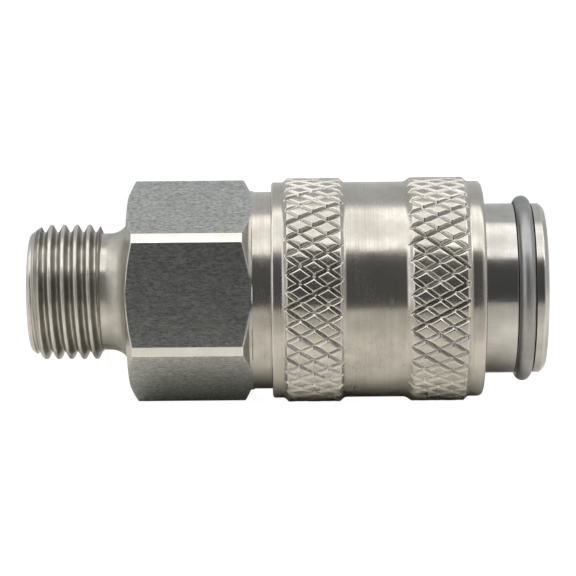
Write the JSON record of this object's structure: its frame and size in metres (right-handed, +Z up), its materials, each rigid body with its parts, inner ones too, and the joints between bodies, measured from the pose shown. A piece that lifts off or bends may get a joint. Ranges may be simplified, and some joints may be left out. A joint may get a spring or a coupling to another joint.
{
  "type": "quick disconnect coupler",
  "caption": "Ball-locking quick disconnect coupler socket with knurled sliding release sleeve, wrench hexagon, male pipe thread, snap ring and spring-loaded shut-off valve",
  "frame": {"origin": "on the coupler's axis, midway between the thread's end face and the mouth", "axes": "+X runs along the axis from the male thread to the mouth that takes the plug, +Z is up as the coupler lies on its side, and two flats of the hexagon face -Y and +Y"},
  "size_m": [0.0366, 0.016, 0.016],
  "materials": {
    "turned_stainless": "turned and hex-bar stainless steel, satin",
    "sleeve_stainless": "turned stainless steel, satin, knurled bands",
    "valve_stainless": "fine turned stainless steel",
    "spring_wire": "drawn stainless spring wire",
    "ball_steel": "polished hardened steel",
    "seal_rubber": "moulded black nitrile rubber"
  },
  "bodies": {
    "coupler_body": {"threaded_adapter": "turned_stainless", "socket_body": "turned_stainless", "snap_ring": "spring_wire", "body_gasket": "seal_rubber", "plug_seal": "seal_rubber", "sleeve_spring": "spring_wire", "valve_spring": "spring_wire"},
    "spring_washer": {"sleeve_washer": "sleeve_stainless"},
    "sleeve": {"release_sleeve": "sleeve_stainless"},
    "valve": {"valve_piston": "valve_stainless", "valve_seal": "seal_rubber"},
    "ball_1": {"locking_ball_1": "ball_steel"},
    "ball_2": {"locking_ball_2": "ball_steel"},
    "ball_3": {"locking_ball_3": "ball_steel"},
    "ball_4": {"locking_ball_4": "ball_steel"},
    "ball_5": {"locking_ball_5": "ball_steel"},
    "ball_6": {"locking_ball_6": "ball_steel"}
  },
  "joints": [
    {"name": "sleeve_slide", "type": "slide", "parent": "coupler_body", "child": "spring_washer", "axis": [1, 0, 0], "range_m": [0, 0.00225], "stiffness_N_per_m": 900, "springref_m": -0.0012, "deforming": ["sleeve_spring"]},
    {"name": "sleeve_spin", "type": "hinge", "parent": "spring_washer", "child": "sleeve", "pos_m": [0.00673, 0, 0], "axis": [1, 0, 0], "continuous": true},
    {"name": "valve_slide", "type": "slide", "parent": "coupler_body", "child": "valve", "axis": [-1, 0, 0], "range_m": [0, 0.00495], "deforming": ["valve_spring"]},
    {"name": "ball_1_slide", "type": "slide", "parent": "coupler_body", "child": "ball_1", "axis": [0, 0, -1], "range_m": [0, 0.00045]},
    {"name": "ball_2_slide", "type": "slide", "parent": "coupler_body", "child": "ball_2", "axis": [0, -0.866, -0.5], "range_m": [0, 0.00045]},
    {"name": "ball_3_slide", "type": "slide", "parent": "coupler_body", "child": "ball_3", "axis": [0, -0.866, 0.5], "range_m": [0, 0.00045]},
    {"name": "ball_4_slide", "type": "slide", "parent": "coupler_body", "child": "ball_4", "axis": [0, 0, 1], "range_m": [0, 0.00045]},
    {"name": "ball_5_slide", "type": "slide", "parent": "coupler_body", "child": "ball_5", "axis": [0, 0.866, 0.5], "range_m": [0, 0.00045]},
    {"name": "ball_6_slide", "type": "slide", "parent": "coupler_body", "child": "ball_6", "axis": [0, 0.866, -0.5], "range_m": [0, 0.00045]}
  ],
  "couplings": [
    {"joint": "valve_slide", "follows": "sleeve_slide", "ratio": 2.2},
    {"joint": "ball_1_slide", "follows": "sleeve_slide", "ratio": 0.2},
    {"joint": "ball_2_slide", "follows": "sleeve_slide", "ratio": 0.2},
    {"joint": "ball_3_slide", "follows": "sleeve_slide", "ratio": 0.2},
    {"joint": "ball_4_slide", "follows": "sleeve_slide", "ratio": 0.2},
    {"joint": "ball_5_slide", "follows": "sleeve_slide", "ratio": 0.2},
    {"joint": "ball_6_slide", "follows": "sleeve_slide", "ratio": 0.2}
  ]
}
